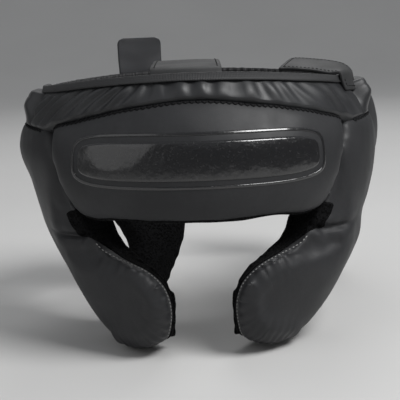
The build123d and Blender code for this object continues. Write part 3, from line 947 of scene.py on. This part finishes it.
# %% [markdown]
# A tape is folded over the crown's top edge, and ruched elastic closes the rim behind the head. Each is
# one closed section carried round the rim, which a formula changes a little on the way.

# %% Rim tape and elastic
def band_round(name, first, last, columns, section, finish, body):
    """A closed band round the rim. section(angle) gives its (out, up) corners in millimetres."""
    corners = len(section(first))

    def place(u, v):
        angle = first + (last - first) * u
        out_by, up_by = section(angle)[int(v * corners) % corners]
        point, out = rim_place(angle)
        return point + (out * out_by + Vector((0, 0, up_by))) * MM

    mesh = grid(columns, corners, place, ((last - first) / 57.3 * 0.1, 0.02))
    bmesh.ops.remove_doubles(mesh, verts=mesh.verts, dist=1e-5)
    bmesh.ops.holes_fill(mesh, edges=[edge for edge in mesh.edges if edge.is_boundary], sides=0)
    bmesh.ops.recalc_face_normals(mesh, faces=mesh.faces)
    return piece(name, mesh, finish, body)


def tape_section(angle):
    """A tape folded over the edge: rounded at the top, pressed thin along its two hems."""
    low = -3.7 + 0.35 * noise.noise(Vector((angle * 0.07, 0, 2.0)))
    steep = 0.5 * max(0.0, math.cos(math.radians(angle)))
    foot = 1.0 + steep * 5.2
    return [(0.0, 1.15), (0.9, 0.95), (1.45, 0.1), (1.55 + steep * 1.5, -2.0), (foot + 0.9, low + 0.6),
            (foot + 0.35, low), (foot - 1.4, low + 0.4), (-1.2, -2.4), (-2.2 + foot * 0.5, low + 0.3),
            (-3.2 + foot * 0.5, low + 0.5), (-2.9, -2.2), (-2.4, 0.1), (-1.4, 0.95)]


tape = band_round("crown_edge_tape", -96, 96, 420, tape_section, TAPE, "shell")
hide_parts("crown_binding")


def elastic_section(angle):
    """Elastic in a ruched sleeve: small even ribs stand out all the way round."""
    rib = 0.42 * math.sin(math.radians(angle) * 110) + 0.25 * noise.noise(Vector((angle * 0.9, 0, 8.0)))
    top = 0.4 * noise.noise(Vector((angle * 0.5, 3.0, 0)))
    return [(-1.7 + rib, top), (-1.5 + rib, top - 2), (-1.3 + rib * 1.3, top - 5.5), (-1.5 + rib, -9),
            (-1.9 + rib, -11), (-3.9 - rib, -11), (-4.3 - rib, -9), (-4.4 - rib * 1.3, top - 5.5),
            (-4.3 - rib, top - 2), (-3.9 - rib, top)]


elastic = band_round("rear_elastic_band", 98, 262, 560, elastic_section, ELASTIC, "shell")
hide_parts("rear_elastic")
print("rim tape faces:", len(tape.data.polygons))

# %% [markdown]
# ## Straps
# The straps are flat webbing, leather and elastic, sewn down at one end and free at the other. Four of
# them fold. Each of these is one piece along a path: its sewn end, the line where it folds, and its free
# end. Rays into the plain solids find the paths of the straps on the rim.

# %% Strap helpers
STRAP_THICK, STRAP_EDGE, STRAP_STEP = 2.2 * MM, 0.6 * MM, 1.5 * MM
FOLD_BEFORE, FOLD_AFTER = 2.5 * MM, 4.5 * MM
STRAP_PITCH, STRAP_THREAD, STITCH_INSET = 2.6 * MM, (1.8 * MM, 0.7 * MM), 2.6 * MM
UPRIGHT_RAYS, ARCH_RAYS, ARCH_TURNS = 8, 90, (12, 168)
HELD_LENGTH, FOLD_NEAR, HEM_START = 14 * MM, 6 * MM, 7 * MM     # all measured from the fold
SIDE_ROLL = 9     # degrees
UP = Vector((0, 0, 1))


def reach(node, direction):
    """The lowest and highest value of a node's points along a direction."""
    along = points_of(NODES[node].data) @ np.array(direction)
    return float(along.min()), float(along.max())


def hits(node, rays):
    """Points half a strap's thickness past where rays, each a start and a direction, meet a plain solid."""
    tree = surface(NODES[node])
    found = [(tree.ray_cast(start, ray)[0], ray) for start, ray in rays]
    return [spot + ray * STRAP_THICK / 2 for spot, ray in found if spot is not None]


def upright_line(node, beside, ray):
    """The middle line of an upright strap, from bottom to top, found with level rays."""
    low, high = reach(node, UP)
    heights = np.linspace(low + 0.3 * MM, high - 0.3 * MM, UPRIGHT_RAYS)
    return hits(node, [(Vector((beside.x, beside.y, z)), ray) for z in heights])


def arched_line(node, below, out):
    """The middle line of an arched strap, from its outer end inwards, found with rays from below it."""
    turns = np.radians(np.linspace(*ARCH_TURNS, ARCH_RAYS))
    return hits(node, [(below, out * math.cos(turn) + UP * math.sin(turn)) for turn in turns])


def softened(line, rounds):
    for _ in range(rounds):
        inner = [(a + b * 2 + c) / 4 for a, b, c in zip(line, line[1:], line[2:])]
        line = [line[0], *inner, line[-1]]
    return line


def round_rim(angle, across):
    """How a strap's sewn end bends round the rim: the shift of a point a distance across it."""
    middle, _ = rim_place(angle)

    def bend(aside):
        point, _ = rim_place(angle + math.degrees(aside / MM / RIM_HALF_WIDTH))
        return point - middle - across * aside

    return bend


def strap(name, path, across, width, finish, bodies, nodes, fold_at, bend=None, corner=0.0, roll=0.0):
    """A strap, and a function that gives a spot on its outer face and the way out there. Its bodies are not
    used.

    It follows the bend until it leaves the fold. Its free end has rounded corners and may roll over."""
    path = softened(evenly(path, STRAP_STEP), 6)
    total, long = len(path) - 1, (len(path) - 1) * STRAP_STEP

    def frame_at(u):
        k = min(int(u * total), total - 1)
        along = (path[min(k + 2, total)] - path[max(k - 1, 0)]).normalized()
        held = 1 - ramp(0, HELD_LENGTH, u * long - fold_at)
        turn = math.radians(roll) * (1 - held)
        out = across.cross(along).normalized()
        sideways = across * math.cos(turn) + out * math.sin(turn)
        return path[k].lerp(path[k + 1], u * total - k), sideways, out, held

    def middle(u, v):
        point, sideways, out, held = frame_at(u)
        cut = corner - min(corner, (1 - u) * long)
        aside = (2 * v - 1) * (width / 2 - corner + math.sqrt(corner ** 2 - cut ** 2))
        curl = 0.5 * (1 - (2 * v - 1) ** 2) + 0.3 * noise.noise(Vector((u * 4, v * 2, len(name))))
        shift = bend(aside) * held if bend else Vector()
        return point + sideways * aside + shift + out * curl * MM

    def spot(u, v):
        _, _, out, _ = frame_at(u)
        return middle(u, v) + out * (STRAP_THICK / 2 + 0.1 * MM), out

    thing = piece(name, grid(total, 14, middle, (long, width)), finish)
    thicken(thing, STRAP_THICK)
    edge = thing.modifiers.new("Soft edges", "BEVEL")
    edge.width, edge.segments, edge.limit_method, edge.angle_limit = STRAP_EDGE, 2, "ANGLE", math.radians(60)
    apply_modifiers(thing)
    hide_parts(*nodes)
    shares = [max(0, min(1, (fold_at + step) / long)) for step in (-FOLD_NEAR, 0, FOLD_NEAR)]
    before, here, after = (frame_at(share)[0] for share in shares)
    onwards = (after - before).normalized()
    here - onwards * FOLD_BEFORE
    here + onwards * FOLD_AFTER
    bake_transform(thing)
    return spot, long


def sewn(name, spot, corners, body):
    """Stitches along straight runs between corners, each a share along a strap and a share across it."""
    rows = []
    for (u0, v0), (u1, v1) in zip(corners, corners[1:]):
        count = max(2, round((spot(u1, v1)[0] - spot(u0, v0)[0]).length / STRAP_PITCH))
        shares = [k / count for k in range(count + 1)]
        rows.append([spot(u0 + (u1 - u0) * share, v0 + (v1 - v0) * share) for share in shares])
    stitches(name, rows, BLACK_THREAD, body, STRAP_THREAD)


def sewn_strap(name, path, fold_at, across, finish, bodies, nodes, **shape):
    """A strap with a box of stitches in its sewn end and a hem round its free end."""
    low, high = reach(nodes[-1], across)
    width = high - low
    spot, long = strap(name, path, across, width, finish, bodies, nodes, fold_at, **shape)
    aside, inset, fold_share = STITCH_INSET / width, STITCH_INSET / long, fold_at / long
    for kind, start, end, body in (("box", fold_share * 0.85, inset, bodies[0]),
                                   ("hem", fold_share + HEM_START / long, 1 - inset, bodies[1])):
        corners = ((start, aside), (end, aside), (end, 1 - aside), (start, 1 - aside))
        sewn(f"{name}_{kind}_stitching", spot, corners, body)
    print(name, "is", round(long / MM), "mm long and", round(width / MM), "mm wide")


print("straps are", round(STRAP_THICK / MM, 1), "mm thick")

# %% [markdown]
# Three straps start at the rim: the front one on its inside, the side one and the rear tab on its outside.

# %% Crown straps
def middle_of(node):
    low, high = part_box(node)
    return (low + high) / 2


def rim_angle(point):
    """The angle round the rim of a point in metres."""
    half_depth, middle = (RIM_FRONT + RIM_REAR) / 2 * MM, (RIM_REAR - RIM_FRONT) / 2 * MM
    return math.degrees(math.atan2(point.x / RIM_HALF_WIDTH / MM, (middle - point.y) / half_depth))


def rim_strap(name, strap_node, foot_node, joint_name, finish, inside=False, arched=True, **shape):
    """A strap sewn to the rim, on the inside of the crown or on its outside, laid across the axis of a joint.
    """
    joint = JOINTS[joint_name]
    across = Vector(joint["axis"])
    out = across.cross(UP)
    ray = out if inside else -out
    foot_middle, middle = middle_of(foot_node), middle_of(strap_node)
    foot = upright_line(foot_node, foot_middle - ray * RAY_START, ray)
    if arched:
        rest = arched_line(strap_node, middle - UP * RAY_START, out)
    else:
        rest = upright_line(strap_node, middle - ray * RAY_START, ray)
    fold_at = sum((b - a).length for a, b in zip(foot, foot[1:]))
    sewn_strap(name, foot + rest, fold_at, across, finish, ("shell", joint["child"]), (foot_node, strap_node),
               bend=round_rim(rim_angle(foot_middle), across), **shape)


rim_strap("front_top_webbing", "front_top_strap", "front_strap_anchor", "front_strap_lift",
          STRAP_LEATHER, inside=True)
rim_strap("side_top_webbing", "side_top_strap", "side_strap_anchor", "side_strap_lift",
          STRAP_LEATHER, roll=SIDE_ROLL)
rim_strap("rear_tab_webbing", "rear_tab", "rear_tab_anchor", "rear_tab_fold",
          WEBBING, arched=False, corner=5 * MM)

# %% [markdown]
# The closure strap runs almost level, so three points give its path: the end that is sewn to the left
# flap, the fold and the free end.

# %% Closure strap
END_SHARE = 1.96     # an end is nearly twice as far from the fold as the middle of its node
fold_point = Vector(JOINTS["closure_strap_fold"]["pos_m"])


def through(node):
    """The far end of a flat node that starts at the closure's fold."""
    middle = middle_of(node)
    end = fold_point + (middle - fold_point) * END_SHARE
    return Vector((end.x, end.y, middle.z))


foot_end, free_end = through("closure_anchor"), through("closure_elastic")
fold_point.z = free_end.z
sewn_strap("closure_webbing", [foot_end, fold_point, free_end], (fold_point - foot_end).length, -UP, ELASTIC,
           ("left_flap", "closure_strap"), ("closure_anchor", "closure_elastic"))

# %% [markdown]
# The chin straps are flat and stiff, so each is a copy of its plain solid with its doubles merged and
# its long edges rounded.

# %% Chin straps
def rounded_copy(name, node, finish, body):
    """A copy of a flat solid with rounded edges and a UV map laid along its longest side."""
    mesh = bmesh.new()
    mesh.from_mesh(NODES[node].data)
    bmesh.ops.remove_doubles(mesh, verts=mesh.verts, dist=1e-6)
    bmesh.ops.dissolve_limit(mesh, angle_limit=math.radians(2), verts=mesh.verts, edges=mesh.edges)
    sharp = [e for e in mesh.edges if e.is_manifold and e.calc_face_angle() > math.radians(50)]
    bmesh.ops.bevel(mesh, geom=sharp, offset=STRAP_EDGE, offset_type="OFFSET", segments=2, profile=0.5,
                    affect="EDGES", material=-1)
    bmesh.ops.triangulate(mesh, faces=[f for f in mesh.faces if len(f.verts) > 4])
    low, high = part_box(node)
    level = Vector((high.x - low.x, high.y - low.y, 0)).normalized()
    uv = mesh.loops.layers.uv.verify()
    for face in mesh.faces:
        for loop in face.loops:
            loop[uv].uv = (loop.vert.co.dot(UP), loop.vert.co.dot(level))
    thing = piece(name, mesh, finish, body)
    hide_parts(node)


for _, wearer_side, _ in SIDES:
    strap_name = f"{wearer_side}_chin_strap"
    rounded_copy(f"{wearer_side}_chin_webbing", strap_name, WEBBING, strap_name)
print("chin straps:", len(SIDES))

# %% [markdown]
# ## Folds at the flaps
# Each rear flap hangs from its side pad by the leather that they share. A narrow strip bridges the
# groove between them.

# %% Flap folds
FOLD_ANGLES, FOLD_HEIGHTS = (102.6, 108.4), (92.0, 146.0)
FOLD_SINK, STRIP_THICK = 5.5, 1.1 * MM


def fold(side, wearer_side, opened):
    """A strip from the side pad to the flap; opened is the turn of the flap at rest."""
    near, far = side * FOLD_ANGLES[0], side * FOLD_ANGLES[1]

    def place(u, v):
        z = FOLD_HEIGHTS[0] + (FOLD_HEIGHTS[1] - FOLD_HEIGHTS[0]) * v
        first, second = on_wall(near, z, FOLD_SINK), opened @ on_wall(far, z, FOLD_SINK)
        pleat = 0.35 * noise.noise(Vector((u * 3, v * 14, side))) - math.sin(math.pi * u)
        return first.lerp(second, u) + out_of_wall((near + far) / 2, z) * pleat * MM

    thing = outer_sheet(f"{wearer_side}_flap_fold", grid(12, 48, place, (0.012, 0.054)), LEATHER)
    thicken(thing, STRIP_THICK)
    apply_modifiers(thing)
    on_wall(near + side, 118, FOLD_SINK)
    opened @ on_wall(far - side, 118, FOLD_SINK)
    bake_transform(thing)


for side, wearer_side, opened in SIDES:
    fold(side, wearer_side, opened)
print("flap folds:", len(SIDES))

# %% [markdown]
# Pads that meet are sewn edge to edge, so light can't pass between them. A strip in each groove closes
# it: leather near the outside of the nape seams, and spacer mesh deeper in.

# %% Pad seams
NAPE_LINE, NAPE_ASIDE = ((131.0, 82.0), (170.5, 82.0)), (0, 6)
TEMPLE_LINE, TEMPLE_ASIDE = ((45.5, 94), (48.6, 107), (50.8, 123), (53.4, 137), (56, 146)), (3, 0)


def pad_seam(name, side, line, aside, sink, finish, body, opened=STAY):
    """A strip along the groove between two pads, a little puckered, that turns in at its ends. It reaches
    `aside`, an angle and a height, to either side of the groove's line."""
    parts = np.linspace(0, 1, len(line))
    angles, heights = zip(*line)

    def place(u, v):
        angle = float(np.interp(u, parts, angles)) + aside[0] * (2 * v - 1)
        z = float(np.interp(u, parts, heights)) + aside[1] * (2 * v - 1)
        pucker = 0.4 * noise.noise(Vector((u * 22, v * 2, side)))
        return opened @ on_wall(side * angle, z, sink + pucker + 2.5 * abs(2 * u - 1) ** 6)

    thicken(outer_sheet(name, grid(60, 12, place, (0.08, 0.013)), finish, body), STRIP_THICK)


for side, wearer_side, opened in SIDES:
    flap = f"{wearer_side}_flap"
    pad_seam(f"{wearer_side}_nape_seam_leather", side, NAPE_LINE, NAPE_ASIDE, 3.6, LEATHER, flap, opened)
    pad_seam(f"{wearer_side}_nape_seam_lining", side, NAPE_LINE, NAPE_ASIDE, 13.0, LINING, flap, opened)
    pad_seam(f"{wearer_side}_temple_seam", side, TEMPLE_LINE, TEMPLE_ASIDE, 14.0, LINING, "shell")
print("strips in the grooves:", 3 * len(SIDES))

# %% [markdown]
# ## Patches
# The hook and loop patches keep their own shape and get a pile finish. The closure's loop patch also has
# a row of stitches just inside its edge.

# %% Patches
PATCHES = {
    "front_strap_hook_patch": HOOKS, "closure_hook_patch": HOOKS, "left_chin_hook_patch": HOOKS,
    "rear_tab_loop_patch": LOOPS, "closure_loop_patch": LOOPS, "right_chin_loop_patch": LOOPS,
}
for node, finish in PATCHES.items():
    data = NODES[node].data
    data.materials.clear()
    data.materials.append(finish.material)


def patch_stitching(name, node, body, inset):
    """A row of stitches just inside the edge of a patch that is curved with the wall."""
    tree = surface(NODES[node])
    angle, z, _ = wall_place(points_of(NODES[node].data))
    aside = inset / MM_PER_DEGREE
    first, last = angle.min() + aside, angle.max() - aside
    low, high = z.min() + inset, z.max() - inset
    corners = [(first, low), (last, low), (last, high), (first, high), (first, low)]
    rows = []
    for (a0, z0), (a1, z1) in zip(corners, corners[1:]):
        run = [on_wall(a0 + (a1 - a0) * k / 12, z0 + (z1 - z0) * k / 12, -3.0) for k in range(13)]
        rows.append(pressed(tree, evenly(run, STRAP_PITCH), 0.1 * MM))
    stitches(name, rows, BLACK_THREAD, body, STRAP_THREAD)


patch_stitching("closure_loop_patch_stitching", "closure_loop_patch", "right_flap", 2.2)
left_over = [name for name, thing in NODES.items() if not thing.hide_render and name not in PATCHES]
print("nodes that still show their plain solid:", left_over)

# %% [markdown]
# ## Floor and light
# One pale dish is the floor and, bent up far away, the backdrop. A large soft lamp stands high on
# the viewer's right, a weaker one fills from the left, and the world is an even pale grey.

# %% Floor and light
FLOOR_RADIUS, FLAT_RADIUS, FLOOR_BEND = 6.0, 2.2, 0.22
LAMP_AIM = Vector((0, 0, 0.1))


def backdrop():
    def place(u, v):
        reach_out, turn = v * FLOOR_RADIUS, u * math.tau
        bend = max(0.0, reach_out - FLAT_RADIUS)
        return Vector((reach_out * math.cos(turn), reach_out * math.sin(turn), bend * bend * FLOOR_BEND))

    finish = Finish("pale_floor", "floor")
    finish.shade(finish.cloud(3), (0.58, 0.577, 0.57), (0.63, 0.627, 0.62), 0.9)
    mesh = grid(96, 60, place)
    bmesh.ops.remove_doubles(mesh, verts=mesh.verts, dist=1e-4)
    bmesh.ops.recalc_face_normals(mesh, faces=mesh.faces)
    piece("floor", mesh, finish)


def lamp(name, place, size, power):
    light = bpy.data.lights.new(name, "AREA")
    light.shape, light.size, light.energy = "DISK", size, power
    thing = bpy.data.objects.new(name, light)
    SCENE.collection.objects.link(thing)
    thing.location = place
    thing.rotation_euler = (LAMP_AIM - thing.location).to_track_quat("-Z", "Y").to_euler()


backdrop()
lamp("key", (0.85, -0.65, 1.40), 0.8, 25)
lamp("fill", (-1.3, -1.0, 0.9), 1.6, 3.5)
lamp("back", (0.2, 1.3, 1.4), 1.0, 7)
world = bpy.data.worlds.new("studio")
SCENE.world = world
world.use_nodes = True
world.node_tree.nodes["Background"].inputs["Color"].default_value = (0.95, 0.97, 1.0, 1)
world.node_tree.nodes["Background"].inputs["Strength"].default_value = 0.30
print("lamps ready")
